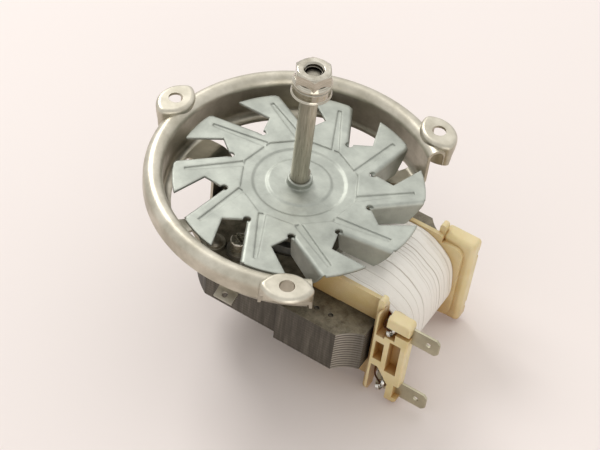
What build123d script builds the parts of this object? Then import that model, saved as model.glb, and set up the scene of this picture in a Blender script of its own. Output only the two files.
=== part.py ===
from build123d import *
import os

# Cooling-fan motor of an oven: shaded-pole motor under a pressed mounting ring.
# Origin on the shaft axis, level with the tops of the three fixing lugs.
# +Z runs up the shaft to the nut, +X points to the coil and its two tabs.

os.makedirs("parts", exist_ok=True)

# Shaft
shaft_r = 3.0
shaft_top = 37.2
shaft_bottom = -56.7
shaft_flat = 2.4              # axis to the flat
shaft_flat_low = -1.7
shaft_flat_turn = 26.7
shaft_chamfer = 0.5

# Mounting ring, one pressed sheet
ring_t = 0.9
ring_turn = -2.5
ring_half_open = 51.0
lug_pcd = 95.2
lug_in = 3.3                  # lug circle to the crown of the bead
bead_r = lug_pcd / 2 - lug_in
bead_cross = 3.0
bead_top = -1.5
skirt_low = -7.9
wall_r = bead_r - bead_cross
flange_top = -15.7
flange_w = 2.8                # wall to the inner edge of the foot flange
flange_r = wall_r - flange_w
foot_bend = 2.4
flange_gap_tan = 0.51         # half width of each cut in the foot flange, by radius
flange_cut_in = 1.7           # the cut starts this far inside the flange edge
lug_hole_r = 2.25
lug_long = 8.0                # half width round the ring
lug_wide = 5.5                # half width across the ring
lug_round = 1.4
lug_corner = 2.0
lug_rim = 1.3                 # depth of the rim at its outermost point
arm_angles = (57.0, 123.0, -128.0, -62.0)
arm_w = 4.6
arm_root_w = 6.4
arm_in = 5.0                  # flange edge to the knee of an arm
arm_r = flange_r - arm_in
foot_x = 15.6
foot_y = 21.0
foot_r = 3.5
rivet_r = 1.6
rivet_head_r = 2.8
rivet_head_h = 1.2

tail_w = 10.6
tail_face = 27.6              # axis to the face of the tail behind the stack
tail_r = 5.0
tail_top = -15.2
tail_low = -33.5
tail_rise = 1.9               # flange edge to where the tail starts to rise

# Earth tab of the ring, bent out from the foot of its wall
earth_x = 2.8
earth_w = 6.3
earth_long = 4.0
earth_slope = 27.0
earth_z = -15.6
earth_hole_r = 0.85

# Cooling fan, one pressed sheet
fan_gap = 2.8                 # rim of the fan to the ring's wall
fan_r = wall_r - fan_gap
fan_top = -5.7
fan_t = 0.8
fan_blades = 10
fan_turn = 26.7               # turn of the first blade about the shaft
fold_offset = 0.357 * fan_r   # axis to the fold line of a blade
fold_in = 0.486 * fan_r       # hub end of the fold line
fold_out = 0.934 * fan_r      # rim end of the fold line
fold_r = 1.2
hub_r = 0.604 * fan_r
relief_r = 1.2
vane_depth_in = 7.3
vane_depth_out = 8.7
star_r = 0.455 * fan_r        # flats of the sunk star between the arms
star_tip = 0.875 * fan_r
star_root_w = 2.4
star_tip_w = 1.2
star_d = 0.35
channel_in = 9.5
channel_out = 14.6
channel_d = 0.4
channel_slope = 0.8
collar_r = 3.9
collar_h = 1.7

# Stator
stack_top = -25.7
stack_h = 16.0
stack_low = stack_top - stack_h
mid_z = stack_top - stack_h / 2
bore_r = 13.0
leg_out = 29.7
side_out = 27.6
step_x = 12.7
leg_in = 17.5
leg_end = 40.6
window_x = 17.5
back_gap = 0.34
back_x = -(tail_face - 0.26 - back_gap)
limb_x0 = 27.5
limb_x1 = 40.0
tongue_y = 19.0
dimple_r = 0.8
dimple_d = 0.5

# Shading rings
shade_turn = -38.0
shade_in = 13.8
shade_out = 19.5
shade_w = 2.0
shade_rise = 2.2

# Rotor
rotor_r = 12.6
cage_r = 12.2
cage_in = 7.5
cage_rise = 2.8
bar_r = 1.2
bar_circle = 10.7
bars = 16

# Bearings, heights counted from the middle of the stack
plate_t = 1.5
ear_h = stack_h / 2
plate_h = 12.0
cup_in = 7.2
cup_h = 24.0
seat_h = 18.5
bush_r = 5.5
bush_half = 4.0
bush_gap = 0.02
run_gap = 0.03
strap_w = 8.0
strap_turn = 68.5
screw_circle = 21.0
ear_end = 24.5
screw_r = 2.0
screw_gap = 0.15
screw_head_r = 2.75
screw_head_h = 4.4
washer_r = 5.2
washer_t = 0.4

# Bobbin
flange_y0 = 16.0
flange_y1 = 17.4
bobbin_top = -16.2
bobbin_low = 2 * mid_z - bobbin_top
tube_wall = 1.2
limb_gap = 0.1
strip_x0 = 41.0
strip_x1 = 43.0
strip_y = 20.0
strip_top = -13.2
block_x1 = 53.5
web_x1 = block_x1 - 3.0
block_y0 = 17.4
block_y1 = 22.5
block_round = 1.7

# Coil
coil_x0 = 18.3
bobbin_x0 = coil_x0 - 0.3
coil_x1 = 49.3
coil_top = -16.8
coil_half = 15.9
tape_t = 0.5

# Tabs
tab_w = 6.3
tab_t = 0.8
tab_y = -20.0
tab_tip = 62.4
tab_inner = 45.2
tab_hole_x = 58.9
tab_hole_r = 0.9
tab_upper_z = -20.9
tab_lower_z = -46.5
lead_r = 0.3
solder_x = 47.4
solder_upper_z = -22.5
solder_lower_z = -47.6
solder_r = 1.55

# Washer and nut on the shaft end
washer_low = 30.3
washer_top = 34.0
nut_flange_r = 5.9
nut_flange_h = 1.9
nut_top = 39.2
nut_af = 10.0
nut_turn = 4.0

lug_angles = [ring_turn + a for a in (60.0, 180.0, 300.0)]
lug_r = lug_pcd / 2
feet = ((foot_x, foot_y), (-foot_x, foot_y), (-foot_x, -foot_y), (foot_x, -foot_y))


# Mounting ring: skirt, rolled bead, wall, foot flange, three lugs, four arms, tail

flange_low = flange_top - ring_t
bead_mid = bead_top - bead_cross
bend_mid = flange_top + foot_bend
bend_x = wall_r - foot_bend
cross_in = bead_cross - ring_t
bend_out = foot_bend + ring_t
cos45 = 0.70711

with BuildPart() as mounting_ring:
    with BuildSketch(Plane.XZ):
        with BuildLine():
            Line((bead_r + bead_cross, skirt_low), (bead_r + bead_cross, bead_mid))
            ThreePointArc((bead_r + bead_cross, bead_mid), (bead_r, bead_top), (wall_r, bead_mid))
            Line((wall_r, bead_mid), (wall_r, bend_mid))
            ThreePointArc(
                (wall_r, bend_mid),
                (bend_x + foot_bend * cos45, bend_mid - foot_bend * cos45),
                (bend_x, flange_top),
            )
            Line((bend_x, flange_top), (flange_r, flange_top))
            Line((flange_r, flange_top), (flange_r, flange_low))
            Line((flange_r, flange_low), (bend_x, flange_low))
            ThreePointArc(
                (bend_x, flange_low),
                (bend_x + bend_out * cos45, bend_mid - bend_out * cos45),
                (wall_r + ring_t, bend_mid),
            )
            Line((wall_r + ring_t, bend_mid), (wall_r + ring_t, bead_mid))
            ThreePointArc(
                (wall_r + ring_t, bead_mid),
                (bead_r, bead_mid + cross_in),
                (bead_r + cross_in, bead_mid),
            )
            Line((bead_r + cross_in, bead_mid), (bead_r + cross_in, skirt_low))
            Line((bead_r + cross_in, skirt_low), (bead_r + bead_cross, skirt_low))
        make_face()
    revolve(axis=Axis.Z, revolution_arc=360 - 2 * ring_half_open)

# The revolved ring starts on +X; here it is turned so its gap faces the coil


def lens(shrink):
    half_long = lug_long - shrink
    half_wide = lug_wide - shrink
    with BuildLine() as outline:
        ThreePointArc((0, -half_long), (half_wide, 0), (0, half_long))
        ThreePointArc((0, half_long), (-half_wide, 0), (0, -half_long))
    make_face(outline.edges())


with BuildPart() as lug_cup:
    with BuildSketch(Plane.XY.offset(skirt_low)):
        lens(0)
    extrude(amount=-skirt_low)
    fillet(lug_cup.edges().filter_by(Axis.Z), lug_corner)
    fillet(lug_cup.faces().sort_by(Axis.Z)[-1].edges(), lug_round)
    with BuildSketch(Plane.XY.offset(skirt_low)):
        lens(ring_t)
    extrude(amount=-skirt_low - ring_t, mode=Mode.SUBTRACT)
    with BuildSketch(Plane.XZ):
        with BuildLine():
            Polyline(
                (-0.6, skirt_low - 1), (-0.6, skirt_low), (0.4, skirt_low), (1.2, -4.2),
                (3.0, -2.2), (lug_wide - 0.6, -lug_rim), (lug_wide + 2, -lug_rim),
                (lug_wide + 2, skirt_low - 1), close=True,
            )
        make_face()
    extrude(amount=lug_long + 2, both=True, mode=Mode.SUBTRACT)

with BuildPart() as lug_room:
    with BuildSketch(Plane.XY.offset(bead_mid)):
        lens(0.2)
    extrude(amount=-bead_mid + 1)
    with BuildSketch(Plane.XY.offset(skirt_low)):
        Circle(lug_hole_r + 1.2)
    extrude(amount=-skirt_low + 1)

with BuildPart() as ring_arm:
    with BuildSketch(Plane.XY.offset(flange_low)):
        with BuildLine():
            Polyline(
                (flange_r + 1.4, -arm_root_w / 2), (flange_r + 1.4, arm_root_w / 2),
                (arm_r, arm_w / 2), (arm_r, -arm_w / 2), close=True,
            )
        make_face()
        with Locations((arm_r, 0)):
            Circle(arm_w / 2)
    extrude(amount=ring_t)

with BuildPart() as whole_ring:
    with Locations(Location((0, 0, 0), (0, 0, 1), ring_turn + ring_half_open)):
        add(mounting_ring.part)
    for angle in lug_angles:
        with Locations(Location((0, 0, 0), (0, 0, 1), angle)):
            with Locations((lug_r, 0, 0)):
                add(lug_room.part, mode=Mode.SUBTRACT)
    for angle in lug_angles:
        with Locations(Location((0, 0, 0), (0, 0, 1), angle)):
            with Locations((lug_r, 0, 0)):
                add(lug_cup.part)
    with BuildSketch(Plane.XY.offset(bead_mid)):
        for angle in lug_angles:
            with Locations(Location((0, 0, 0), (0, 0, 1), angle)):
                with Locations((lug_r, 0)):
                    Rectangle(8.0, 2 * lug_long - 2.4)
        Circle(bead_r + bead_cross, mode=Mode.INTERSECT)
        Circle(bead_r + cross_in, mode=Mode.SUBTRACT)
    extrude(amount=-bead_mid - ring_t / 2)
    with BuildSketch(Plane.XY.offset(skirt_low - 1)):
        for angle in lug_angles:
            with Locations(Vector(lug_r, 0).rotate(Axis.Z, angle)):
                Circle(lug_hole_r)
    extrude(amount=-skirt_low + 2, mode=Mode.SUBTRACT)
    for angle, foot in zip(arm_angles, feet):
        with Locations(Location((0, 0, 0), (0, 0, 1), angle)):
            add(ring_arm.part)
        knee = Vector(arm_r, 0).rotate(Axis.Z, angle)
        run = Vector(foot[0], foot[1]) - knee
        side = Plane(origin=knee, x_dir=run, z_dir=run.rotate(Axis.Z, -90))
        with BuildSketch(side):
            with BuildLine():
                Polyline(
                    (-0.5, flange_top), (0.5, flange_top), (3.7, stack_top + ring_t),
                    (run.length, stack_top + ring_t), (run.length, stack_top),
                    (2.8, stack_top), (-0.45, flange_low), (-0.5, flange_low), close=True,
                )
            make_face()
        extrude(amount=arm_w / 2, both=True)
        with BuildSketch(Plane.XY.offset(stack_top)):
            with Locations(foot):
                Circle(foot_r)
        extrude(amount=ring_t)
        with BuildSketch(Plane.XY.offset(stack_top)):
            with Locations(foot):
                Circle(rivet_r)
        extrude(amount=ring_t, mode=Mode.SUBTRACT)
    # no foot flange between two neighbouring arms on either side
    gap_y = 60 * flange_gap_tan
    with BuildSketch(Plane.XY.offset(flange_low - 0.5)):
        for middle in (90.0, -90.0):
            with Locations(Location((0, 0, 0), (0, 0, 1), middle + ring_turn)):
                Polygon((0, 0), (60, -gap_y), (60, gap_y), align=None)
        Circle(wall_r - 0.6, mode=Mode.INTERSECT)
        Circle(flange_r - flange_cut_in, mode=Mode.SUBTRACT)
    extrude(amount=bend_mid - flange_low + 0.5, mode=Mode.SUBTRACT)
    # tail that arches over and drops behind the stack
    tail_plane = Plane.XZ.rotated((0, 0, 180 + ring_turn))
    mid = ring_t / 2
    drop_r = tail_face + mid
    with BuildLine(tail_plane) as tail_line:
        Spline(
            (flange_r + 1.4, flange_top - mid), (flange_r - tail_rise, flange_top + 0.2 - mid), (tail_face + tail_r, tail_top - mid),
            tangents=((-1, 0), (-1, 0)),
        )
        ThreePointArc(
            (tail_face + tail_r, tail_top - mid),
            (tail_face + tail_r - (tail_r - mid) * cos45, tail_top - tail_r + (tail_r - mid) * cos45),
            (drop_r, tail_top - tail_r),
        )
        Line((drop_r, tail_top - tail_r), (drop_r, tail_low))
    with BuildSketch(Plane(origin=tail_line.line @ 0, z_dir=tail_line.line % 0, x_dir=(0, 0, 1))):
        Rectangle(ring_t, tail_w)
    sweep(path=tail_line.line)
    # earth tab, bent out from the foot of the wall
    earth_plane = Plane(
        origin=(earth_x, -(wall_r - 0.3), earth_z), x_dir=(1, 0, 0),
        z_dir=Vector(0, 0, 1).rotate(Axis.X, earth_slope),
    )
    with BuildSketch(earth_plane):
        with Locations((0, -earth_long / 2)):
            Rectangle(earth_w, earth_long)
        with Locations((-0.2, -earth_long * 0.56)):
            Circle(earth_hole_r, mode=Mode.SUBTRACT)
    extrude(amount=-ring_t)
whole_ring.part.label = "mounting_ring"
export_step(whole_ring.part, "parts/mounting_ring.step")

# Four through rivets: each holds a ring foot and the stack

with BuildPart() as ring_rivets:
    with BuildSketch(Plane.XZ):
        with BuildLine():
            Polyline(
                (0, stack_low - rivet_head_h), (rivet_head_r - 0.5, stack_low - rivet_head_h),
                (rivet_head_r, stack_low - 0.5), (rivet_head_r, stack_low), (rivet_r, stack_low),
                (rivet_r, stack_top + ring_t), (rivet_head_r, stack_top + ring_t),
                (rivet_head_r, stack_top + ring_t + 0.4),
                (rivet_head_r * 0.72, stack_top + ring_t + rivet_head_h - 0.2),
                (rivet_head_r * 0.4, stack_top + ring_t + rivet_head_h),
                (0, stack_top + ring_t + rivet_head_h), close=True,
            )
        make_face()
    revolve(axis=Axis.Z)
with BuildPart() as all_rivets:
    with Locations(*feet):
        add(ring_rivets.part)
all_rivets.part.label = "ring_rivets"
export_step(all_rivets.part, "parts/ring_rivets.step")

# Laminated stator: U-shaped stack with the rotor bore and the coil window

with BuildPart() as stator_stack:
    with BuildSketch(Plane.XY.offset(stack_low)):
        with BuildLine():
            Line((leg_end, leg_in), (leg_end, 24.5))
            ThreePointArc((leg_end, 24.5), (36.7, 26.4), (33.5, leg_out))
            Polyline((33.5, leg_out), (step_x + 0.4, leg_out), (step_x, side_out), (-13.6, side_out))
            ThreePointArc((-13.6, side_out), (back_x + 4.9, 19.9), (back_x, 10.2))
            Line((back_x, 10.2), (back_x, 0))
            Line((back_x, 0), (window_x, 0))
            Polyline(
                (window_x, 0), (window_x, leg_in), (30.0, leg_in), (31.2, tongue_y),
                (36.3, tongue_y), (37.5, leg_in), (leg_end, leg_in),
            )
        make_face()
        mirror(about=Plane.XZ)
        Circle(bore_r, mode=Mode.SUBTRACT)
        with Locations(*feet):
            Circle(rivet_r, mode=Mode.SUBTRACT)
        with PolarLocations(screw_circle, 2, start_angle=strap_turn):
            Circle(screw_r + screw_gap, mode=Mode.SUBTRACT)
        with PolarLocations(shade_in + shade_w / 2, 2, start_angle=shade_turn):
            Rectangle(shade_w, shade_w, mode=Mode.SUBTRACT)
        with PolarLocations(shade_out - shade_w / 2, 2, start_angle=shade_turn):
            Rectangle(shade_w, shade_w, mode=Mode.SUBTRACT)
    extrude(amount=stack_h)
    with BuildSketch(Plane.XY.offset(stack_top)):
        with Locations((23.5, -24.1), (28.3, -24.0), (23.5, 24.1), (28.3, 24.0)):
            Circle(dimple_r)
    extrude(amount=-dimple_d, mode=Mode.SUBTRACT)
stator_stack.part.label = "stator_stack"
export_step(stator_stack.part, "parts/stator_stack.step")

# Straight limb of the core, wedged between the two legs

with BuildPart() as core_limb:
    with BuildSketch(Plane.XY.offset(stack_low)):
        with BuildLine():
            Polyline(
                (limb_x0, 0), (limb_x0, leg_in), (30.0, leg_in), (31.2, tongue_y),
                (36.3, tongue_y), (37.5, leg_in), (limb_x1, leg_in), (limb_x1, 0), close=True,
            )
        make_face()
        mirror(about=Plane.XZ)
    extrude(amount=stack_h)
core_limb.part.label = "core_limb"
export_step(core_limb.part, "parts/core_limb.step")

# Two copper shading rings, each round one edge of a pole

with BuildPart() as shading_rings:
    shade_length = shade_out - shade_in
    shade_height = stack_h + 2 * (shade_rise + shade_w) - 2 * shade_rise
    with BuildSketch(Plane.XZ.offset(-shade_w / 2)):
        with Locations(((shade_in + shade_out) / 2, mid_z)):
            Rectangle(shade_length, shade_height)
            Rectangle(shade_length - 2 * shade_w, stack_h, mode=Mode.SUBTRACT)
    extrude(amount=shade_w)
with BuildPart() as both_shading_rings:
    with PolarLocations(0, 2, start_angle=shade_turn):
        add(shading_rings.part)
    top_edges = both_shading_rings.faces().sort_by(Axis.Z)[-2:].edges()
    fillet(top_edges, 0.5)
both_shading_rings.part.label = "shading_rings"
export_step(both_shading_rings.part, "parts/shading_rings.step")

# Bobbin: tube round the limb, two flanges, end strips and two end blocks

with BuildPart() as bobbin:
    height = bobbin_top - bobbin_low
    with BuildSketch(Plane.XZ.offset(-flange_y1)):
        with Locations(((bobbin_x0 + strip_x1) / 2, mid_z)):
            RectangleRounded(strip_x1 - bobbin_x0, height, 1.5)
    extrude(amount=2 * flange_y1)
    with BuildSketch(Plane.XZ.offset(-flange_y0)):
        with Locations((34.0, mid_z)):
            Rectangle(60.0, 60.0)
        with Locations(((limb_x0 + limb_x1) / 2, mid_z)):
            Rectangle(
                limb_x1 - limb_x0 + 2 * (limb_gap + tube_wall),
                stack_h + 2 * (limb_gap + tube_wall),
                mode=Mode.SUBTRACT,
            )
    extrude(amount=2 * flange_y0, mode=Mode.SUBTRACT)
    # front webs of the flanges, behind the blocks
    for y_low in (-flange_y1, flange_y0):
        with BuildSketch(Plane.XZ.offset(-y_low - (flange_y1 - flange_y0))):
            with Locations(((strip_x0 + web_x1) / 2, mid_z)):
                RectangleRounded(web_x1 - strip_x0, height - 5.0, 3.0)
        extrude(amount=flange_y1 - flange_y0)
    # end strips
    for y_low in (-strip_y, flange_y1):
        with BuildSketch(Plane.XZ.offset(-y_low - (strip_y - flange_y1))):
            with Locations(((strip_x0 + strip_x1) / 2, mid_z)):
                RectangleRounded(strip_x1 - strip_x0, 2 * (strip_top - mid_z), 0.95)
        extrude(amount=strip_y - flange_y1)
    # end blocks
    with BuildPart(mode=Mode.PRIVATE) as end_block:
        with BuildSketch(Plane.XZ.offset(block_y0)):
            with Locations(((strip_x1 + block_x1) / 2 - 0.4, mid_z)):
                RectangleRounded(block_x1 - strip_x1 + 0.8, height, 1.3)
        extrude(amount=block_y1 - block_y0)
        fillet(end_block.faces().sort_by(Axis.Y)[-1].edges(), block_round)
        fillet(end_block.faces().sort_by(Axis.Y)[0].edges(), 0.5)
    add(end_block.part)
    add(end_block.part.mirror(Plane.XZ))
    # limb opening
    with BuildSketch(Plane.XZ.offset(-30)):
        with Locations(((limb_x0 + limb_x1) / 2, mid_z)):
            Rectangle(limb_x1 - limb_x0 + 2 * limb_gap, stack_h + 2 * limb_gap)
    extrude(amount=60, mode=Mode.SUBTRACT)
    # pockets and slots in the near block: x0, x1, z0, z1, depth to y
    tab_face = tab_y - tab_t / 2
    cuts = (
        (43.1, 45.9, -25.4, -15.0, -15.9),
        (43.4, 46.3, -36.0, -28.0, -18.8),
        (47.9, 51.6, -39.0, -25.6, -18.8),
        (45.9, 49.2, -24.4, -19.9, tab_face),
        (49.2, block_x1 + 1, -21.6, -19.9, tab_face),
        (51.9, block_x1 + 1, -49.0, -43.3, tab_face),
    )
    for x0, x1, z0, z1, y1 in cuts:
        with BuildSketch(Plane.XZ.offset(-y1)):
            with Locations(((x0 + x1) / 2, (z0 + z1) / 2)):
                Rectangle(x1 - x0, z1 - z0)
        extrude(amount=30 + y1, mode=Mode.SUBTRACT)
    # open corner below the near block, where the lower wire comes through
    with BuildSketch(Plane.XZ.offset(coil_half)):
        with BuildLine():
            Polyline(
                (43.3, -38.8), (45.5, -38.8), (49.6, -44.4), (49.6, bobbin_low - 1),
                (43.3, bobbin_low - 1), close=True,
            )
        make_face()
    extrude(amount=30 - coil_half, mode=Mode.SUBTRACT)
    # slots that hold the two tabs
    for z in (tab_upper_z, tab_lower_z):
        with Locations((49.5, tab_y, z)):
            Box(10.0, tab_t, tab_w, mode=Mode.SUBTRACT)
    # small notches on the far block
    with Locations((block_x1, block_y1, -22.0), (block_x1, block_y1, -46.0)):
        Box(1.6, 2.4, 3.0, mode=Mode.SUBTRACT)
bobbin.part.label = "bobbin"
export_step(bobbin.part, "parts/bobbin.step")


# Winding and its tape share one rounded outline


def coil_outline(inset):
    top = coil_top - inset
    low = 2 * mid_z - top
    with BuildLine() as outline:
        back = Polyline((34.0, low), (coil_x0 + 3 + inset, low))
        Line((coil_x0 + 3 + inset, low), (coil_x0 + inset, low + 3))
        Line((coil_x0 + inset, low + 3), (coil_x0 + inset, top - 3))
        Line((coil_x0 + inset, top - 3), (coil_x0 + 3 + inset, top))
        Line((coil_x0 + 3 + inset, top), (34.0, top))
        Spline(
            (34.0, top), (42.0 - inset * 0.5, top - 2.6), (47.2 - inset, -24.2),
            (coil_x1 - inset, -32.5), (48.4 - inset, -42.0), (44.0 - inset * 0.5, low + 2.4),
            (34.0, low),
            tangents=((1, 0), (-1, 0)),
        )
    return outline


with BuildPart() as coil_winding:
    with BuildSketch(Plane.XZ.offset(-coil_half)):
        add(coil_outline(tape_t))
        make_face()
        with Locations(((limb_x0 + limb_x1) / 2, mid_z)):
            Rectangle(
                limb_x1 - limb_x0 + 2 * (limb_gap + tube_wall),
                stack_h + 2 * (limb_gap + tube_wall),
                mode=Mode.SUBTRACT,
            )
    extrude(amount=2 * coil_half)
coil_winding.part.label = "coil_winding"
export_step(coil_winding.part, "parts/coil_winding.step")

with BuildPart() as coil_tape:
    with BuildSketch(Plane.XZ.offset(-coil_half)):
        add(coil_outline(0.0))
        make_face()
    extrude(amount=2 * coil_half)
    with BuildSketch(Plane.XZ.offset(-coil_half)):
        add(coil_outline(tape_t))
        make_face()
    extrude(amount=2 * coil_half, mode=Mode.SUBTRACT)
coil_tape.part.label = "coil_tape"
export_step(coil_tape.part, "parts/coil_tape.step")

# Two flat tabs held in the near block


def tab(z, name):
    with BuildPart() as blade:
        with BuildSketch(Plane.XZ.offset(-tab_y - tab_t / 2)):
            with Locations(((tab_inner + tab_tip) / 2, z)):
                Rectangle(tab_tip - tab_inner, tab_w)
            with Locations((tab_hole_x, z)):
                Circle(tab_hole_r, mode=Mode.SUBTRACT)
        extrude(amount=tab_t)
        tip = blade.edges().filter_by(Axis.Y).group_by(Axis.X)[-1]
        chamfer(tip, 1.2)
        long_edges = blade.edges().filter_by(Axis.X)
        chamfer(blade.faces().sort_by(Axis.X)[-1].edges().filter_by(Axis.Z), 0.25)
    blade.part.label = name
    export_step(blade.part, f"parts/{name}.step")


tab(tab_upper_z, "terminal_upper")
tab(tab_lower_z, "terminal_lower")

# Ends of the winding wire led to the tabs, and the solder on them

wire_paths = (
    (
        (44.4, -coil_half - 0.2, -23.0), (44.4, -17.4, -22.4), (44.3, -20.0, -20.6),
        (44.9, -21.8, -20.7), (46.1, -22.0, -21.3), (solder_x - 0.2, -21.0, solder_upper_z - 0.1),
    ),
    (
        (44.6, -coil_half - 0.2, -41.5), (44.6, -17.6, -41.0), (44.5, -20.3, -40.2),
        (44.9, -22.0, -41.6), (46.2, -21.9, -45.0), (solder_x - 0.2, -21.0, solder_lower_z + 0.2),
    ),
)
with BuildPart() as lead_wires:
    for points in wire_paths:
        with BuildLine() as lead_line:
            Spline(*points)
        with BuildSketch(Plane(origin=lead_line.line @ 0, z_dir=lead_line.line % 0)):
            Circle(lead_r)
        sweep(path=lead_line.line)
lead_wires.part.label = "lead_wires"
export_step(lead_wires.part, "parts/lead_wires.step")

with BuildPart() as solder_joints:
    with Locations((solder_x, tab_face + 0.5, solder_upper_z), (solder_x, tab_face + 0.5, solder_lower_z)):
        Sphere(solder_r)
    with Locations((solder_x, tab_face + 2.0, -35.0)):
        Box(8.0, 4.0, 40.0, mode=Mode.SUBTRACT)
    add(lead_wires.part, mode=Mode.SUBTRACT)
    add(bobbin.part, mode=Mode.SUBTRACT)
solder_joints.part.label = "solder_joints"
export_step(solder_joints.part, "parts/solder_joints.step")


# Bearing bracket: strap with two ears and a bearing cup; side is 1 above, -1 below


def bracket(side, name):
    closed = side < 0
    top = cup_h if not closed else cup_h + 0.8
    seat = bush_r + bush_gap
    with BuildPart() as frame:
        with BuildSketch(Plane.XZ):
            with BuildLine():
                Polyline(
                    (ear_end, ear_h), (ear_end, ear_h + plate_t), (16.9, ear_h + plate_t),
                    (14.0, plate_h + plate_t), (-14.0, plate_h + plate_t),
                    (-16.9, ear_h + plate_t), (-ear_end, ear_h + plate_t), (-ear_end, ear_h),
                    (-16.4, ear_h), (-13.6, plate_h), (13.6, plate_h), (16.4, ear_h), close=True,
                )
            make_face()
        extrude(amount=strap_w / 2, both=True)
        fillet(frame.edges().filter_by(Axis.Z).group_by(Axis.X)[0], strap_w / 2 - 0.1)
        fillet(frame.edges().filter_by(Axis.Z).group_by(Axis.X)[-1], strap_w / 2 - 0.1)
        with BuildSketch(Plane.XZ):
            with BuildLine():
                Polyline(
                    (0, plate_h), (11.0, plate_h), (11.0, plate_h + plate_t),
                    (cup_in + plate_t, plate_h + plate_t + 0.8), (cup_in + plate_t, top - 3.0),
                )
                ThreePointArc(
                    (cup_in + plate_t, top - 3.0),
                    (cup_in + plate_t - 3.0 + 3.0 * cos45, top - 3.0 + 3.0 * cos45),
                    (cup_in + plate_t - 3.0, top),
                )
                Polyline((cup_in + plate_t - 3.0, top), (0, top), (0, plate_h))
            make_face()
        revolve(axis=Axis.Z)
        with BuildSketch(Plane.XZ):
            seat_floor = 20.4
            seat_edge = (seat ** 2 - (seat_floor - seat_h) ** 2) ** 0.5
            neck = shaft_r + 0.6
            neck_h = seat_h + (seat ** 2 - neck ** 2) ** 0.5
            mid_r = seat * 0.81
            mid_h = seat_h + (seat ** 2 - mid_r ** 2) ** 0.5
            end = top + 1 if not closed else neck_h + 0.7
            with BuildLine():
                Polyline((0, plate_h - 1), (cup_in, plate_h - 1), (cup_in, seat_floor))
                Line((cup_in, seat_floor), (seat_edge, seat_floor))
                ThreePointArc((seat_edge, seat_floor), (mid_r, mid_h), (neck, neck_h))
                Polyline((neck, neck_h), (neck, end), (0, end), (0, plate_h - 1))
            make_face()
        revolve(axis=Axis.Z, mode=Mode.SUBTRACT)
        hole_r = screw_r + 0.1 if not closed else screw_r
        with BuildSketch(Plane.XY.offset(ear_h)):
            with Locations((screw_circle, 0), (-screw_circle, 0)):
                Circle(hole_r)
        extrude(amount=plate_t, mode=Mode.SUBTRACT)
    with BuildPart() as placed:
        if closed:
            with Locations((0, 0, mid_z)):
                add(frame.part.rotate(Axis.X, 180).rotate(Axis.Z, strap_turn))
        else:
            with Locations((0, 0, mid_z)):
                add(frame.part.rotate(Axis.Z, strap_turn))
    placed.part.label = name
    export_step(placed.part, f"parts/{name}.step")


bracket(1, "upper_bracket")
bracket(-1, "lower_bracket")


# Pieces that sit the same way in both bearings, above and below the middle


def put(section, side, name):
    with BuildPart() as piece:
        with Locations((0, 0, mid_z)):
            if side > 0:
                add(section.part)
            else:
                add(section.part.rotate(Axis.X, 180))
    piece.part.label = name
    export_step(piece.part, f"parts/{name}.step")


with BuildPart() as bush:
    with Locations((0, 0, seat_h)):
        Sphere(bush_r)
    with BuildSketch(Plane.XY.offset(seat_h - bush_half)):
        Circle(bush_r + 1)
    extrude(amount=2 * bush_half, mode=Mode.INTERSECT)
    with BuildSketch(Plane.XY.offset(seat_h - bush_half)):
        Circle(shaft_r + run_gap)
    extrude(amount=2 * bush_half, mode=Mode.SUBTRACT)
put(bush, 1, "upper_bush")
put(bush, -1, "lower_bush")

with BuildPart() as retainer:
    with BuildSketch(Plane.XY.offset(14.9)):
        Circle(cup_in)
        Circle(4.6, mode=Mode.SUBTRACT)
        with PolarLocations(4.8, 6):
            Rectangle(2.0, 0.9, mode=Mode.SUBTRACT)
    extrude(amount=0.4)
put(retainer, 1, "upper_retainer")
put(retainer, -1, "lower_retainer")

with BuildPart() as felt:
    with BuildSketch(Plane.XY.offset(15.3)):
        Circle(cup_in)
        Circle(bush_r + 0.1, mode=Mode.SUBTRACT)
    extrude(amount=4.8)
put(felt, 1, "upper_felt")
put(felt, -1, "lower_felt")

# Two long screws clamp both brackets to the stack

with BuildPart() as bracket_screws:
    head_low = stack_top + plate_t
    with BuildSketch(Plane.XY.offset(head_low)):
        with PolarLocations(screw_circle, 2, start_angle=strap_turn):
            Circle(screw_head_r)
    extrude(amount=screw_head_h)
    fillet(bracket_screws.faces().sort_by(Axis.Z)[-2:].edges(), 0.5)
    with BuildSketch(Plane.XY.offset(head_low + screw_head_h)):
        with PolarLocations(screw_circle, 2, start_angle=strap_turn):
            Rectangle(0.9, 8.0)
    extrude(amount=-1.5, mode=Mode.SUBTRACT)
    with BuildSketch(Plane.XY.offset(head_low)):
        with PolarLocations(screw_circle, 2, start_angle=strap_turn):
            Circle(screw_r)
    extrude(amount=-(stack_h + 2 * plate_t + 1.5))
bracket_screws.part.label = "bracket_screws"
export_step(bracket_screws.part, "parts/bracket_screws.step")

# Rotor: laminated core with the cast cage in its slots

with BuildPart() as rotor_core:
    with BuildSketch(Plane.XY.offset(stack_low)):
        Circle(rotor_r)
        Circle(shaft_r, mode=Mode.SUBTRACT)
        with PolarLocations(bar_circle, bars):
            Circle(bar_r, mode=Mode.SUBTRACT)
    extrude(amount=stack_h)
rotor_core.part.label = "rotor_core"
export_step(rotor_core.part, "parts/rotor_core.step")

with BuildPart() as rotor_cage:
    with BuildSketch(Plane.XY.offset(stack_low)):
        with PolarLocations(bar_circle, bars):
            Circle(bar_r)
    extrude(amount=stack_h)
    for z in (stack_low - cage_rise, stack_top):
        with BuildSketch(Plane.XY.offset(z)):
            Circle(cage_r)
            Circle(cage_in, mode=Mode.SUBTRACT)
        extrude(amount=cage_rise)
rotor_cage.part.label = "rotor_cage"
export_step(rotor_cage.part, "parts/rotor_cage.step")

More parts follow.
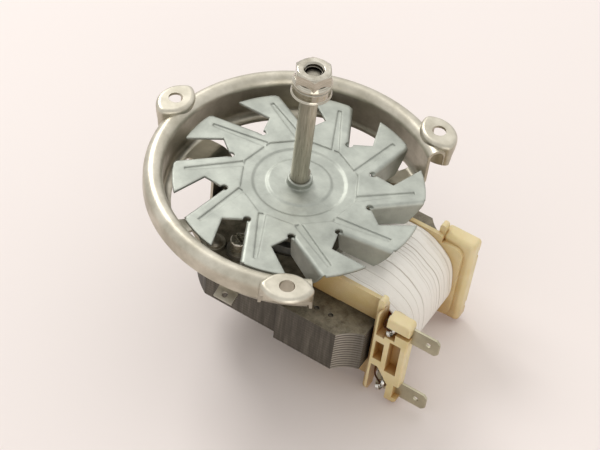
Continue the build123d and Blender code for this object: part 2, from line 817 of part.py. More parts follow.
with BuildPart() as thrust_washers:
    for z in (mid_z + 14.0, mid_z - 14.0 - washer_t):
        with BuildSketch(Plane.XY.offset(z)):
            Circle(washer_r)
            Circle(shaft_r, mode=Mode.SUBTRACT)
        extrude(amount=washer_t)
thrust_washers.part.label = "thrust_washers"
export_step(thrust_washers.part, "parts/thrust_washers.step")

with BuildPart() as shaft:
    with BuildSketch(Plane.XY.offset(shaft_bottom)):
        Circle(shaft_r)
    extrude(amount=shaft_top - shaft_bottom)
    chamfer(shaft.edges().filter_by(GeomType.CIRCLE), shaft_chamfer)
    with Locations(Location((0, 0, 0), (0, 0, 1), shaft_flat_turn)):
        with Locations((shaft_flat + 2.0, 0, (shaft_top + shaft_flat_low) / 2 + 1)):
            Box(4.0, 10.0, shaft_top - shaft_flat_low + 2, mode=Mode.SUBTRACT)
shaft.part.label = "shaft"
export_step(shaft.part, "parts/shaft.step")

# Cooling fan: ten arms, each with a vane folded down along its leading edge

with BuildPart() as vane:
    section = Plane(origin=(-fold_offset, -fold_in, fan_top), x_dir=(1, 0, 0), z_dir=(0, -1, 0))
    with BuildSketch(section):
        inner = fold_r - fan_t
        with BuildLine():
            Line((fold_r, 0), (fold_r, -fan_t))
            ThreePointArc(
                (fold_r, -fan_t),
                (fold_r - inner * cos45, -fold_r + inner * cos45),
                (fan_t, -fold_r),
            )
            Polyline((fan_t, -fold_r), (fan_t, -12), (0, -12), (0, -fold_r))
            ThreePointArc(
                (0, -fold_r),
                (fold_r - fold_r * cos45, -fold_r + fold_r * cos45),
                (fold_r, 0),
            )
        make_face()
    extrude(amount=fold_out - fold_in)
    length = fold_out - fold_in
    flat = Plane(origin=(-fold_offset, -fold_in, fan_top), x_dir=(0, -1, 0), z_dir=(-1, 0, 0))
    with BuildSketch(flat):
        with BuildLine():
            Polyline(
                (length, 0), (0, 0), (0, -2.0), (0.8, -vane_depth_in), (12.2, -vane_depth_out),
            )
            ThreePointArc((12.2, -vane_depth_out), (15.1, -4.7), (length, 0))
        make_face()
    extrude(amount=5, both=True, mode=Mode.INTERSECT)

tip_x = 0.997 * fan_r * -0.00506
tip_y = 0.997 * fan_r * -0.99999
notch_x = 0.745 * fan_r * -0.19475
notch_y = 0.745 * fan_r * -0.98085
root_x = hub_r * -0.00785
root_y = hub_r * -0.99997
rim_x = -fold_offset + fold_r
rim_y = -(fan_r ** 2 - rim_x ** 2) ** 0.5
arc_x = fan_r * -0.18224
arc_y = fan_r * -0.98325
groove_x = -0.249 * fan_r

with BuildPart() as arm:
    with BuildSketch(Plane.XY.offset(fan_top - fan_t)):
        with BuildLine():
            Polyline((rim_x, -10.0), (rim_x, rim_y))
            ThreePointArc((rim_x, rim_y), (arc_x, arc_y), (tip_x, tip_y))
            Polyline((tip_x, tip_y), (notch_x, notch_y), (root_x, root_y), (0, -10.0), (rim_x, -10.0))
        make_face()
    extrude(amount=fan_t)

with BuildPart() as cooling_fan:
    with BuildSketch(Plane.XY.offset(fan_top - fan_t)):
        Circle(hub_r)
        with PolarLocations(0, fan_blades, start_angle=fan_turn):
            with Locations((-fold_offset, -fold_in)):
                Circle(relief_r, mode=Mode.SUBTRACT)
    extrude(amount=fan_t)
    with PolarLocations(0, fan_blades, start_angle=fan_turn):
        add(arm.part)
        add(vane.part)
    with BuildSketch(Plane.XY.offset(fan_top - fan_t)):
        with PolarLocations(0, fan_blades, start_angle=fan_turn):
            with Locations((-fold_offset, -fold_in)):
                Circle(relief_r)
    extrude(amount=fan_t, mode=Mode.SUBTRACT)
    star_start = 0.40 * fan_r
    star_mid = (star_start + star_tip) / 2
    with BuildSketch(Plane.XY.offset(fan_top - star_d)) as star:
        RegularPolygon(star_r, fan_blades, major_radius=False, rotation=fan_turn + 90)
        with PolarLocations(0, fan_blades, start_angle=fan_turn):
            Polygon(
                (groove_x - star_root_w / 2, -star_start), (groove_x + star_root_w / 2, -star_start),
                (groove_x + star_tip_w / 2, -star_tip), (groove_x - star_tip_w / 2, -star_tip),
                align=None,
            )
    extrude(amount=star_d, mode=Mode.SUBTRACT)
    with BuildSketch(Plane.XY.offset(fan_top - fan_t - star_d)):
        add(star.sketch.moved(Location((0, 0, 0))))
    extrude(amount=star_d)
    floor_z = fan_top - star_d
    with BuildSketch(Plane.XZ):
        with BuildLine():
            Polyline(
                (channel_in, floor_z), (channel_in + channel_slope, floor_z - channel_d),
                (channel_out - channel_slope, floor_z - channel_d), (channel_out, floor_z),
                (channel_out, floor_z + 1), (channel_in, floor_z + 1), close=True,
            )
        make_face()
    revolve(axis=Axis.Z, mode=Mode.SUBTRACT)
    with BuildSketch(Plane.XZ):
        with BuildLine():
            Polyline(
                (channel_in, floor_z - fan_t), (channel_in + channel_slope, floor_z - fan_t - channel_d),
                (channel_out - channel_slope, floor_z - fan_t - channel_d), (channel_out, floor_z - fan_t),
                close=True,
            )
        make_face()
    revolve(axis=Axis.Z)
    with BuildSketch(Plane.XY.offset(floor_z)):
        Circle(collar_r)
    extrude(amount=collar_h + star_d)
    with BuildSketch(Plane.XY.offset(floor_z - fan_t)):
        Circle(shaft_r)
    extrude(amount=fan_t + star_d + collar_h, mode=Mode.SUBTRACT)
cooling_fan.part.label = "cooling_fan"
export_step(cooling_fan.part, "parts/cooling_fan.step")

# Turned bush pressed on the shaft under the fan

with BuildPart() as fan_bush:
    with BuildSketch(Plane.XY.offset(floor_z - fan_t - 2.6)):
        Circle(5.0)
        Circle(shaft_r, mode=Mode.SUBTRACT)
    extrude(amount=2.6)
    chamfer(fan_bush.edges().filter_by(GeomType.CIRCLE).group_by(Axis.Z)[0].sort_by(SortBy.RADIUS)[-1], 0.4)
fan_bush.part.label = "fan_bush"
export_step(fan_bush.part, "parts/fan_bush.step")

# Cup washer and flanged nut at the top of the shaft

with BuildPart() as shaft_washer:
    with BuildSketch(Plane.XZ):
        with BuildLine():
            Polyline((shaft_r + 0.05, washer_low), (5.85, washer_low))
            ThreePointArc((5.85, washer_low), (6.05, washer_low + 0.3), (5.85, washer_low + 0.7))
            Polyline((5.85, washer_low + 0.7), (5.7, washer_low + 1.0), (5.75, washer_top - 0.4))
            Polyline(
                (5.75, washer_top - 0.4), (5.4, washer_top), (shaft_r + 0.05, washer_top),
                (shaft_r + 0.05, washer_low),
            )
        make_face()
    revolve(axis=Axis.Z)
shaft_washer.part.label = "shaft_washer"
export_step(shaft_washer.part, "parts/shaft_washer.step")

with BuildPart() as shaft_nut:
    with BuildSketch(Plane.XY.offset(washer_top)):
        RegularPolygon(nut_af / 2, 6, major_radius=False, rotation=nut_turn)
    extrude(amount=nut_top - washer_top)
    with BuildSketch(Plane.XZ):
        with BuildLine():
            Polyline(
                (0, washer_top), (7.0, washer_top), (7.0, nut_top - 1.3), (4.7, nut_top), (0, nut_top),
                close=True,
            )
        make_face()
    revolve(axis=Axis.Z, mode=Mode.INTERSECT)
    with BuildSketch(Plane.XZ):
        with BuildLine():
            Polyline(
                (0, washer_top), (nut_flange_r - 0.3, washer_top), (nut_flange_r, washer_top + 0.3),
                (nut_flange_r, washer_top + 0.8), (5.2, washer_top + nut_flange_h),
                (0, washer_top + nut_flange_h), close=True,
            )
        make_face()
    revolve(axis=Axis.Z)
    with BuildSketch(Plane.XZ):
        with BuildLine():
            Polyline(
                (0, washer_top), (shaft_r, washer_top), (shaft_r, shaft_top), (2.6, shaft_top + 0.1),
                (2.6, nut_top - 0.5), (3.1, nut_top), (0, nut_top), close=True,
            )
        make_face()
    revolve(axis=Axis.Z, mode=Mode.SUBTRACT)
shaft_nut.part.label = "shaft_nut"
export_step(shaft_nut.part, "parts/shaft_nut.step")
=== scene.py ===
import math
import bpy
import bmesh
from mathutils import Matrix, Vector


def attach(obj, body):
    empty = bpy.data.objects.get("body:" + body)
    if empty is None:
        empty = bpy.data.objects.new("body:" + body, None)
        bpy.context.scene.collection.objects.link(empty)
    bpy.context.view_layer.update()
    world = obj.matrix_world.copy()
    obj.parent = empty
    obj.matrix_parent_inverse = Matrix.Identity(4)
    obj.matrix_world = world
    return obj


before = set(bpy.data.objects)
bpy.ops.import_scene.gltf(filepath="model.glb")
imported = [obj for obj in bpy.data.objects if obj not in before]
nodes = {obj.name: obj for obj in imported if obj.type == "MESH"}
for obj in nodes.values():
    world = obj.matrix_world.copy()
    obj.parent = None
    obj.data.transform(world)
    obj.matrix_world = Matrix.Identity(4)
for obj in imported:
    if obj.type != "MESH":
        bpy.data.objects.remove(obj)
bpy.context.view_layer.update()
mm = 0.001


# Materials: colours are sRGB hex, patterns are given by their real size in millimetres

def tone(hexCode):
    parts = [int(hexCode[i:i + 2], 16) / 255 for i in (0, 2, 4)]
    return [c / 12.92 if c <= 0.04045 else ((c + 0.055) / 1.055) ** 2.4 for c in parts] + [1.0]


def per(size):
    return 1 / (size * mm)  # how often a pattern of this size fits into a metre


def put(tree, kind, settings=None, links=None):
    node = tree.nodes.new(kind)
    for name, value in (settings or {}).items():
        if name == "stops":  # places and colours along a colour ramp
            band = node.color_ramp.elements
            while len(band) < len(value):
                band.new(0.5)
            for stop, (place, colour) in zip(band, value):
                stop.position = place
                stop.color = tone(colour)
        elif isinstance(name, int) or name in node.inputs:
            node.inputs[name].default_value = value
        else:
            setattr(node, name, value)
    for name, source in (links or {}).items():
        tree.links.new(source, node.inputs[name])
    return node


def material(name):
    made = bpy.data.materials.new(name)
    made.use_nodes = True
    tree = made.node_tree
    shader = tree.nodes["Principled BSDF"]
    coords = put(tree, "ShaderNodeTexCoord").outputs["Object"]
    return made, tree, shader, coords


def feed(tree, shader, links, fixed):
    for name, source in links.items():
        tree.links.new(source, shader.inputs[name])
    for name, value in fixed.items():
        shader.inputs[name].default_value = value


sheetValues = {"cloud": 7.143, "marks": 1.111, "markStrength": 0.25}


def sheetSteel(name, light, dark, rough, spread, grain, lift=0.01, edge=0.2):
    # Pressed sheet steel with thin plating: cloudy tone, faint rolling marks, edges slightly round from the press
    # Real rolling marks are finer than a millimetre and are drawn at about one so that they show
    made, tree, shader, coords = material(name)
    cloud = put(tree, "ShaderNodeTexNoise", {"Scale": per(sheetValues["cloud"]), "Detail": 5.0, "Roughness": 0.6},
                {"Vector": coords})
    stretch = put(tree, "ShaderNodeMapping", {"Scale": grain}, {"Vector": coords})
    marks = put(tree, "ShaderNodeTexNoise", {"Scale": per(sheetValues["marks"]), "Detail": 3.0},
                {"Vector": stretch.outputs["Vector"]})
    colour = put(tree, "ShaderNodeValToRGB", {"stops": ((0.35, dark), (0.65, light))}, {"Fac": cloud.outputs["Fac"]})
    sheen = put(tree, "ShaderNodeMapRange",
                {"From Min": 0.3, "From Max": 0.7, "To Min": rough, "To Max": rough + spread},
                {"Value": marks.outputs["Fac"]})
    rounded = put(tree, "ShaderNodeBevel", {"samples": 4, "Radius": edge * mm})
    bump = put(tree, "ShaderNodeBump", {"Strength": sheetValues["markStrength"], "Distance": lift * mm},
               {"Height": marks.outputs["Fac"], "Normal": rounded.outputs["Normal"]})
    feed(tree, shader, {"Base Color": colour.outputs["Color"], "Roughness": sheen.outputs["Result"],
                        "Normal": bump.outputs["Normal"]}, {"Metallic": 1.0})
    return made


laminatedValues = {"streakWidth": 1.4286, "streakLength": 22.22, "speck": 2.381, "lineOnSide": 0.07,
                   "shadeReach": 14.0, "shadeDark": 0.12, "roughLow": 0.42, "roughHigh": 0.62,
                   "groove": 0.15, "edge": 0.3, "metallic": 0.7}


def laminated(name, side, end, top, pitch):
    # Stack of stamped electrical steel: sheet lines on the leg ends, upright streaks on the sides, painted shade in the
    # nooks and painted light on the ends
    # A real sheet is about half a millimetre; the lines are drawn at a pitch that can be told apart in the render
    made, tree, shader, coords = material(name)
    split = put(tree, "ShaderNodeSeparateXYZ", links={"Vector": coords})
    normal = put(tree, "ShaderNodeNewGeometry")
    facing = put(tree, "ShaderNodeSeparateXYZ", links={"Vector": normal.outputs["Normal"]})
    flat = put(tree, "ShaderNodeMath", {"operation": "ABSOLUTE"}, {0: facing.outputs["Z"]})
    flatMask = put(tree, "ShaderNodeMath", {"operation": "GREATER_THAN", 1: 0.7}, {0: flat.outputs[0]})
    # Painted light: faces turned towards +x in the world, the leg ends, take a lighter tone than the sides, as if lit
    # from there
    litEndMask = put(tree, "ShaderNodeMapRange", {"From Min": 0.25, "From Max": 0.75}, {"Value": facing.outputs["X"]})
    turns = put(tree, "ShaderNodeMath", {"operation": "MULTIPLY", 1: 2 * math.pi * per(pitch)}, {0: split.outputs["Z"]})
    wave = put(tree, "ShaderNodeMath", {"operation": "SINE"}, {0: turns.outputs[0]})
    lines = put(tree, "ShaderNodeMapRange", {"From Min": -1.0, "From Max": 1.0}, {"Value": wave.outputs[0]})
    across, length = per(laminatedValues["streakWidth"]), per(laminatedValues["streakLength"])
    upright = put(tree, "ShaderNodeMapping", {"Scale": (across, across, length)}, {"Vector": coords})
    streaks = put(tree, "ShaderNodeTexNoise", {"Scale": 1.0, "Detail": 5.0, "Roughness": 0.7},
                  {"Vector": upright.outputs["Vector"]})
    faint = put(tree, "ShaderNodeMath", {"operation": "MULTIPLY_ADD", 1: laminatedValues["lineOnSide"]},
                {0: lines.outputs["Result"], 2: streaks.outputs["Fac"]})
    speck = put(tree, "ShaderNodeTexNoise", {"Scale": per(laminatedValues["speck"]), "Detail": 6.0, "Roughness": 0.7},
                {"Vector": coords})
    sideTone = put(tree, "ShaderNodeValToRGB", {"stops": ((0.34, side[0]), (0.54, side[1]), (0.78, side[2]))},
                   {"Fac": faint.outputs[0]})
    litEndTone = put(tree, "ShaderNodeValToRGB", {"stops": ((0.1, end[0]), (0.6, end[1]))},
                  {"Fac": lines.outputs["Result"]})
    faceTone = put(tree, "ShaderNodeValToRGB", {"stops": ((0.3, top[0]), (0.7, top[1]))},
                   {"Fac": speck.outputs["Fac"]})
    around = put(tree, "ShaderNodeMix", {"data_type": "RGBA"},
                 {0: litEndMask.outputs["Result"], 6: sideTone.outputs["Color"], 7: litEndTone.outputs["Color"]})
    base = put(tree, "ShaderNodeMix", {"data_type": "RGBA"},
               {0: flatMask.outputs[0], 6: around.outputs[2], 7: faceTone.outputs["Color"]})
    # Painted shade: ambient occlusion darkens the colour in nooks and beside other parts
    nook = put(tree, "ShaderNodeAmbientOcclusion", {"samples": 8, "Distance": laminatedValues["shadeReach"] * mm})
    shadeFactor = put(tree, "ShaderNodeMapRange",
               {"From Min": 0.2, "From Max": 0.85, "To Min": laminatedValues["shadeDark"], "To Max": 1.0},
               {"Value": nook.outputs["AO"]})
    shadedBase = put(tree, "ShaderNodeMix", {"data_type": "RGBA", "blend_type": "MULTIPLY", 0: 1.0},
                  {6: base.outputs[2], 7: shadeFactor.outputs["Result"]})
    sheen = put(tree, "ShaderNodeMapRange",
                {"From Min": 0.3, "From Max": 0.7, "To Min": laminatedValues["roughLow"],
                 "To Max": laminatedValues["roughHigh"]}, {"Value": speck.outputs["Fac"]})
    relief = put(tree, "ShaderNodeMath", {"operation": "MULTIPLY"},
                 {0: lines.outputs["Result"], 1: litEndMask.outputs["Result"]})
    rounded = put(tree, "ShaderNodeBevel", {"samples": 4, "Radius": laminatedValues["edge"] * mm})
    bump = put(tree, "ShaderNodeBump", {"Strength": 0.5, "Distance": laminatedValues["groove"] * mm},
               {"Height": relief.outputs[0], "Normal": rounded.outputs["Normal"]})
    feed(tree, shader, {"Base Color": shadedBase.outputs[2], "Roughness": sheen.outputs["Result"],
                        "Normal": bump.outputs["Normal"]}, {"Metallic": laminatedValues["metallic"]})
    return made


turnedValues = {"roundMarks": (4.1667, 4.1667, 0.18519), "spread": 0.12, "markStrength": 0.4,
                "nookReach": 6.0, "edge": 0.2}


def turned(name, light, dark, rough, grain=turnedValues["roundMarks"], lift=0.02, shadeTone=None):
    # Turned, ground, drawn or cast metal: two close tones, in marks that run as the tool, the die or the flow left them
    made, tree, shader, coords = material(name)
    stretch = put(tree, "ShaderNodeMapping", {"Scale": [per(size) for size in grain]}, {"Vector": coords})
    marks = put(tree, "ShaderNodeTexNoise", {"Scale": 1.0, "Detail": 6.0, "Roughness": 0.65},
                {"Vector": stretch.outputs["Vector"]})
    colour = put(tree, "ShaderNodeValToRGB", {"stops": ((0.3, dark), (0.7, light))},
                 {"Fac": marks.outputs["Fac"]}).outputs["Color"]
    if shadeTone:  # painted shade: the colour goes to a dark tone in the nooks
        nook = put(tree, "ShaderNodeAmbientOcclusion", {"samples": 8, "Distance": turnedValues["nookReach"] * mm})
        clear = put(tree, "ShaderNodeMapRange", {"From Min": 0.35, "From Max": 0.95}, {"Value": nook.outputs["AO"]})
        colour = put(tree, "ShaderNodeMix", {"data_type": "RGBA", 6: tone(shadeTone)},
                     {0: clear.outputs["Result"], 7: colour}).outputs[2]
    sheen = put(tree, "ShaderNodeMapRange",
                {"From Min": 0.3, "From Max": 0.7, "To Min": rough, "To Max": rough + turnedValues["spread"]},
                {"Value": marks.outputs["Fac"]})
    rounded = put(tree, "ShaderNodeBevel", {"samples": 4, "Radius": turnedValues["edge"] * mm})
    bump = put(tree, "ShaderNodeBump", {"Strength": turnedValues["markStrength"], "Distance": lift * mm},
               {"Height": marks.outputs["Fac"], "Normal": rounded.outputs["Normal"]})
    feed(tree, shader, {"Base Color": colour, "Roughness": sheen.outputs["Result"],
                        "Normal": bump.outputs["Normal"]}, {"Metallic": 1.0})
    return made


mouldedValues = {"cloud": 8.3333, "grain": 0.38462, "grainStrength": 0.2, "grainDepth": 0.03,
                 "nookReach": 16.0, "glowReach": (4.0, 2.5, 1.0)}


def moulded(name, light, dark, rough, glow=0.0, shadeTone=None):
    # Moulded plastic and pressed fibre: soft cloudy tone and a fine grain, the plastic slightly see-through
    made, tree, shader, coords = material(name)
    cloud = put(tree, "ShaderNodeTexNoise", {"Scale": per(mouldedValues["cloud"]), "Detail": 4.0}, {"Vector": coords})
    grain = put(tree, "ShaderNodeTexNoise", {"Scale": per(mouldedValues["grain"]), "Detail": 2.0}, {"Vector": coords})
    colour = put(tree, "ShaderNodeValToRGB", {"stops": ((0.35, dark), (0.65, light))},
                 {"Fac": cloud.outputs["Fac"]}).outputs["Color"]
    if shadeTone:  # painted shade: the colour goes to a dark amber in the pockets and nooks
        nook = put(tree, "ShaderNodeAmbientOcclusion", {"samples": 8, "Distance": mouldedValues["nookReach"] * mm})
        clear = put(tree, "ShaderNodeMapRange", {"From Min": 0.2, "From Max": 0.8}, {"Value": nook.outputs["AO"]})
        colour = put(tree, "ShaderNodeMix", {"data_type": "RGBA", 6: tone(shadeTone)},
                     {0: clear.outputs["Result"], 7: colour}).outputs[2]
    bump = put(tree, "ShaderNodeBump",
               {"Strength": mouldedValues["grainStrength"], "Distance": mouldedValues["grainDepth"] * mm},
               {"Height": grain.outputs["Fac"]})
    feed(tree, shader, {"Base Color": colour, "Normal": bump.outputs["Normal"]},
         {"Roughness": rough, "Subsurface Weight": glow,
          "Subsurface Radius": [reach * mm for reach in mouldedValues["glowReach"]]})
    return made


tapeValues = {"light": "F6F3EC", "creaseShade": "BDB5A8", "rough": 0.3, "drift": 26.316, "sway": 4.5,
              "creaseSize": 1.05263, "wrinkleSize": 3.84615, "fadeSize": 11.111, "wrinkleShare": 1.4,
              "strength": 0.8, "depth": 0.6}


def tapeFilm(name):
    # White polyester tape wound round the coil: glossy film with fine creases along the winding
    # Real creases lie closer together and are drawn about a millimetre apart so that they show
    made, tree, shader, coords = material(name)
    drift = put(tree, "ShaderNodeTexNoise", {"Scale": per(tapeValues["drift"]), "Detail": 3.0}, {"Vector": coords})
    split = put(tree, "ShaderNodeSeparateXYZ", links={"Vector": coords})
    moved = put(tree, "ShaderNodeMath", {"operation": "MULTIPLY_ADD", 1: tapeValues["sway"] * mm},
                {0: drift.outputs["Fac"], 2: split.outputs["Y"]})
    place = put(tree, "ShaderNodeCombineXYZ", links={"Y": moved.outputs[0]})
    creases = put(tree, "ShaderNodeTexNoise",
                  {"Scale": per(tapeValues["creaseSize"]), "Detail": 4.0, "Roughness": 0.65},
                  {"Vector": place.outputs["Vector"]})
    wrinkles = put(tree, "ShaderNodeTexNoise", {"Scale": per(tapeValues["wrinkleSize"]), "Detail": 2.0},
                   {"Vector": place.outputs["Vector"]})
    fade = put(tree, "ShaderNodeTexNoise", {"Scale": per(tapeValues["fadeSize"]), "Detail": 2.0}, {"Vector": coords})
    # Painted shade: the colour darkens along the crease lines
    edge = put(tree, "ShaderNodeMapRange", {"From Min": 0.55, "From Max": 0.63}, {"Value": creases.outputs["Fac"]})
    faded = put(tree, "ShaderNodeMath", {"operation": "MULTIPLY"}, {0: edge.outputs["Result"], 1: fade.outputs["Fac"]})
    colour = put(tree, "ShaderNodeValToRGB", {"stops": ((0.0, tapeValues["light"]), (0.45, tapeValues["creaseShade"]))},
                 {"Fac": faded.outputs[0]})
    height = put(tree, "ShaderNodeMath", {"operation": "MULTIPLY_ADD", 1: tapeValues["wrinkleShare"]},
                 {0: wrinkles.outputs["Fac"], 2: creases.outputs["Fac"]})
    bump = put(tree, "ShaderNodeBump", {"Strength": tapeValues["strength"], "Distance": tapeValues["depth"] * mm},
               {"Height": height.outputs[0]})
    feed(tree, shader, {"Base Color": colour.outputs["Color"], "Normal": bump.outputs["Normal"]},
         {"Roughness": tapeValues["rough"]})
    return made


# Both stacks are of the same stamped sheets
stackTones = {"side": ("47423B", "57524A", "756F65"), "end": ("5A554D", "A8A297"), "top": ("5F584A", "A39B88")}
nickelTones = {"light": "D2CCBE", "dark": "979080", "shadeTone": "2E271B"}
looks = {
    "mounting_ring": sheetSteel("zincedRing", light="C8C2B3", dark="ACA696", rough=0.34, spread=0.1, grain=(1, 1, 4)),
    "ring_rivets": sheetSteel("zincedRivet", light="B5AE9F", dark="8F887A", rough=0.3, spread=0.1, grain=(1, 1, 1)),
    "stator_stack": laminated("laminatedStack", pitch=1.1, **stackTones),
    "core_limb": laminated("laminatedLimb", pitch=1.1, **stackTones),
    "shading_rings": turned("copperStrap", light="B9785A", dark="8A4E35", rough=0.3),
    "bobbin": moulded("mouldedNylon", light="E3D3A8", dark="D6C490", rough=0.36, glow=0.2, shadeTone="A8793A"),
    "coil_winding": turned("enamelledCopper", light="A85A32", dark="6E3216", rough=0.25,
                           grain=(8.3333, 0.09259, 8.3333)),
    "coil_tape": tapeFilm("polyesterTape"),
    "lead_wires": turned("enamelledLead", light="5A3A26", dark="3A2214", rough=0.25),
    "solder_joints": turned("solder", light="D8D6D0", dark="B5B2AA", rough=0.16, lift=0.1,
                            grain=(1.8519, 1.8519, 1.8519)),  # lumpy, as it froze
    "bracket_screws": sheetSteel("zincedScrew", light="D0CBBE", dark="ABA697", rough=0.2, spread=0.1, grain=(1, 1, 1)),
    "rotor_core": laminated("laminatedRotor", pitch=1.3, side=("3F3A34", "5C564C", "746C5F"),
                            end=("3F3A34", "746C5F"), top=("7A7466", "938C7C")),
    "rotor_cage": turned("castAluminium", light="B9B9B6", dark="929290", rough=0.4, lift=0.06,
                         grain=(2.7778, 2.7778, 2.7778)),
    "thrust_washers": moulded("fibreWasher", light="4A3A2A", dark="32261B", rough=0.6),
    "shaft": turned("groundShaft", light="DAD4C5", dark="A29A88", rough=0.26, shadeTone="2E271B",
                    grain=(0.18519, 0.18519, 5.5556)),  # drawn bar, its marks run along it
    "cooling_fan": sheetSteel("zincedFan", light="B0B3AA", dark="9B9E96", rough=0.45, spread=0.12, grain=(1, 6, 1),
                              lift=0.012, edge=0.8),
    "fan_bush": turned("turnedBrass", light="B8975A", dark="8F7240", rough=0.3),
    "shaft_washer": turned("nickelWasher", rough=0.08, **nickelTones),
    "shaft_nut": turned("nickelNut", rough=0.06, **nickelTones),
}
for place, tail in (("upper", ""), ("lower", "Low")):
    looks["terminal_" + place] = sheetSteel("tinnedTab" + tail, light="C6C0A8", dark="ACA68F", rough=0.33,
                                            spread=0.12, grain=(8, 1, 1))
    looks[place + "_bracket"] = sheetSteel("bracketSteel" + tail, light="A39F96", dark="86827A", rough=0.32,
                                           spread=0.12, grain=(4, 1, 1))
    looks[place + "_bush"] = turned("sinteredBronze" + tail, light="A37B4A", dark="7A5733", rough=0.45)
    looks[place + "_retainer"] = sheetSteel("springSteel" + tail, light="9B9A95", dark="7C7B77", rough=0.3,
                                            spread=0.1, grain=(1, 1, 1))
    looks[place + "_felt"] = moulded("oilFelt" + tail, light="8A7757", dark="6E5E43", rough=0.9)
for name, look in looks.items():
    part = nodes[name]
    part.data.materials.clear()
    part.data.materials.append(look)
print("materials done")


# Thread in the nut, and the turns of wire under the solder

def coilUp(shape, ring, turns, rise, steps):
    rim = list({e for v in ring for e in v.link_edges})
    bmesh.ops.spin(shape, geom=ring + rim, axis=(0, 0, 1), cent=(0, 0, 0), angle=2 * math.pi * turns,
                   dvec=(0, 0, rise * mm / steps), steps=steps)


def closeShell(shape):
    bmesh.ops.holes_fill(shape, edges=[e for e in shape.edges if e.is_boundary])
    bmesh.ops.recalc_face_normals(shape, faces=shape.faces)


def intoScene(shape, name, look):
    mesh = bpy.data.meshes.new(name)
    shape.to_mesh(mesh)
    shape.free()
    mesh.materials.append(look)
    piece = bpy.data.objects.new(name, mesh)
    bpy.context.scene.collection.objects.link(piece)
    return piece


# The bore's wall is at 2.6 mm, so the foot of the ridge lies just inside the metal and its crest stands in the hole
threadValues = {"pitch": 1.0, "root": 2.63, "depth": 0.3, "corner": 0.2, "low": 37.48, "turns": 1.05, "steps": 80}
shape = bmesh.new()
section = bmesh.ops.create_circle(shape, cap_ends=False, segments=3, radius=threadValues["corner"] * mm)["verts"]
bmesh.ops.rotate(shape, verts=section, matrix=Matrix.Rotation(math.pi / 2, 3, "Z"))  # crest inward
bmesh.ops.rotate(shape, verts=section, matrix=Matrix.Rotation(math.pi / 2, 3, "X"))  # section upright
bmesh.ops.scale(shape, verts=section, vec=(threadValues["depth"] / (1.5 * threadValues["corner"]), 1, 1))
middle = threadValues["root"] - threadValues["depth"] / 3  # a triangle's middle is a third of its height above the foot
bmesh.ops.translate(shape, verts=section, vec=(middle * mm, 0, threadValues["low"] * mm))
coilUp(shape, section, threadValues["turns"], threadValues["pitch"] * threadValues["turns"], threadValues["steps"])
closeShell(shape)
thread = intoScene(shape, "nutThread", looks["shaft_nut"])
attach(thread, "rotor")

wireValues = {"wire": 0.28, "sides": 10, "loop": 0.95, "turns": 2.6, "rise": 1.5, "steps": 60, "tilt": 68,
              "places": ((46.9, -21.5, -22.9), (46.9, -21.6, -48.1))}
shape = bmesh.new()
for place in wireValues["places"]:
    loop = bmesh.ops.create_circle(shape, cap_ends=False, segments=wireValues["sides"],
                                   radius=wireValues["wire"] * mm)["verts"]
    bmesh.ops.rotate(shape, verts=loop, matrix=Matrix.Rotation(math.pi / 2, 3, "X"))
    bmesh.ops.translate(shape, verts=loop, vec=(wireValues["loop"] * mm, 0, -wireValues["rise"] * mm / 2))
    before = set(shape.verts)
    coilUp(shape, loop, wireValues["turns"], wireValues["rise"], wireValues["steps"])
    turnVerts = loop + [v for v in shape.verts if v not in before]
    tilt = Matrix.Rotation(math.radians(wireValues["tilt"]), 3, "Y")
    bmesh.ops.rotate(shape, verts=turnVerts, matrix=tilt)
    bmesh.ops.translate(shape, verts=turnVerts, vec=[c * mm for c in place])
closeShell(shape)
for face in shape.faces:
    face.smooth = True
turnsPiece = intoScene(shape, "tinnedTurns", looks["solder_joints"])
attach(turnsPiece, "stator")
print("thread and wire turns done")


# Floor: it passes just under the low points on which the motor rests

floorValues = {"size": 0.9, "colour": "EFE7E4", "rough": 0.6, "specular": 0.2, "under": 0.02,
               "cupEdge": (5.7, -58.5), "stripCorner": (42.24, -54.18)}  # x and z of the low points
(cupX, cupZ), (stripX, stripZ) = floorValues["cupEdge"], floorValues["stripCorner"]
restSlope = (stripZ - cupZ) / (stripX - cupX)
restLow = cupZ - restSlope * cupX - floorValues["under"]
shape = bmesh.new()
bmesh.ops.create_grid(shape, x_segments=1, y_segments=1, size=floorValues["size"] / 2)
bmesh.ops.rotate(shape, verts=shape.verts, matrix=Matrix.Rotation(-math.atan(restSlope), 3, "Y"))
bmesh.ops.translate(shape, verts=shape.verts, vec=(0, 0, restLow * mm))
floorLook, tree, shader = material("palePaper")[:3]  # matt paper, no pattern that shows
feed(tree, shader, {}, {"Base Color": tone(floorValues["colour"]), "Roughness": floorValues["rough"],
                        "Specular IOR Level": floorValues["specular"]})
floor = intoScene(shape, "floor", floorLook)
print("floor done")


# Light: a tent that is dim at the floor and bright above, seen as plain white by the camera and in metal

worldValues = {"low": 0.07, "high": 0.79, "lowTo": -0.05, "highFrom": 0.6, "colour": "FFFCF8"}
world = bpy.data.worlds.new("studio")
bpy.context.scene.world = world
world.use_nodes = True
tree = world.node_tree
tree.nodes.clear()
path = put(tree, "ShaderNodeLightPath")
shiny = put(tree, "ShaderNodeMath", {"operation": "MAXIMUM"},
            {0: path.outputs["Is Glossy Ray"], 1: path.outputs["Is Transmission Ray"]})
seen = put(tree, "ShaderNodeMath", {"operation": "MAXIMUM"}, {0: path.outputs["Is Camera Ray"], 1: shiny.outputs[0]})
ways = put(tree, "ShaderNodeTexCoord").outputs["Generated"]
upward = put(tree, "ShaderNodeSeparateXYZ", links={"Vector": ways})
tent = put(tree, "ShaderNodeMapRange",
           {"From Min": worldValues["lowTo"], "From Max": worldValues["highFrom"],
            "To Min": worldValues["low"], "To Max": worldValues["high"]}, {"Value": upward.outputs["Z"]})
ambient = put(tree, "ShaderNodeBackground", {"Color": tone(worldValues["colour"])},
              {"Strength": tent.outputs["Result"]})
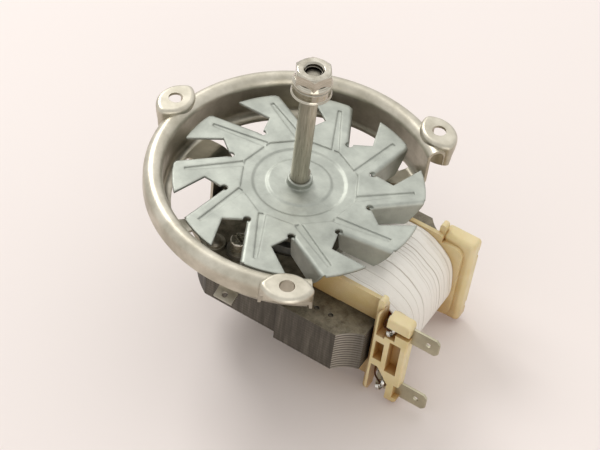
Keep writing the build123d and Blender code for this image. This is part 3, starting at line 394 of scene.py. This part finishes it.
white = put(tree, "ShaderNodeBackground", {"Color": tone("FFFFFF"), "Strength": 1.0})
choose = put(tree, "ShaderNodeMixShader", links={0: seen.outputs[0], 1: ambient.outputs[0], 2: white.outputs[0]})
put(tree, "ShaderNodeOutputWorld", links={"Surface": choose.outputs[0]})

lightValues = {
    "skyPanel": {"place": (-0.25, 0.75, 0.85), "aim": (0, 0, -0.02), "size": 1.5, "power": 1.7, "colour": "FFFEFD"},
    "keyPanel": {"place": (-0.95, 0.5, 0.85), "aim": (0, 0, -0.02), "size": 0.55, "power": 7.4, "colour": "FFFEFC"},
    "frontPanel": {"place": (0.8, -0.8, 0.35), "aim": (0, 0, -0.03), "size": 0.8, "power": 2.8, "colour": "FFFAF4"},
}
for name, values in lightValues.items():
    lamp = bpy.data.lights.new(name, "AREA")
    lamp.shape = "DISK"
    lamp.size = values["size"]
    lamp.energy = values["power"]
    lamp.color = tone(values["colour"])[:3]
    holder = bpy.data.objects.new(name, lamp)
    holder.location = values["place"]
    holder.rotation_euler = (Vector(values["aim"]) - Vector(values["place"])).to_track_quat("-Z", "Y").to_euler()
    bpy.context.scene.collection.objects.link(holder)
print("light done")


# Camera at the photograph's place

cameraValues = {"place": (151.88, -297.70, 326.99), "right": (0.84145, 0.53234, 0.09258),
                "down": (0.44298, -0.58153, -0.68235), "ahead": (-0.30940, 0.61517, -0.72514),
                "lens": 93.506, "sensor": 36.0, "nearest": 0.01}
lens = bpy.data.cameras.new("camera")
lens.lens = cameraValues["lens"]
lens.sensor_width = cameraValues["sensor"]
lens.sensor_fit = "HORIZONTAL"
lens.clip_start = cameraValues["nearest"]
camera = bpy.data.objects.new("camera", lens)
turn = Matrix((Vector(cameraValues["right"]), -Vector(cameraValues["down"]), -Vector(cameraValues["ahead"])))
camera.matrix_world = Matrix.Translation(Vector(cameraValues["place"]) * mm) @ turn.transposed().to_4x4()
bpy.context.scene.collection.objects.link(camera)
bpy.context.scene.camera = camera
bpy.context.scene.view_settings.view_transform = "Standard"
print("camera done")
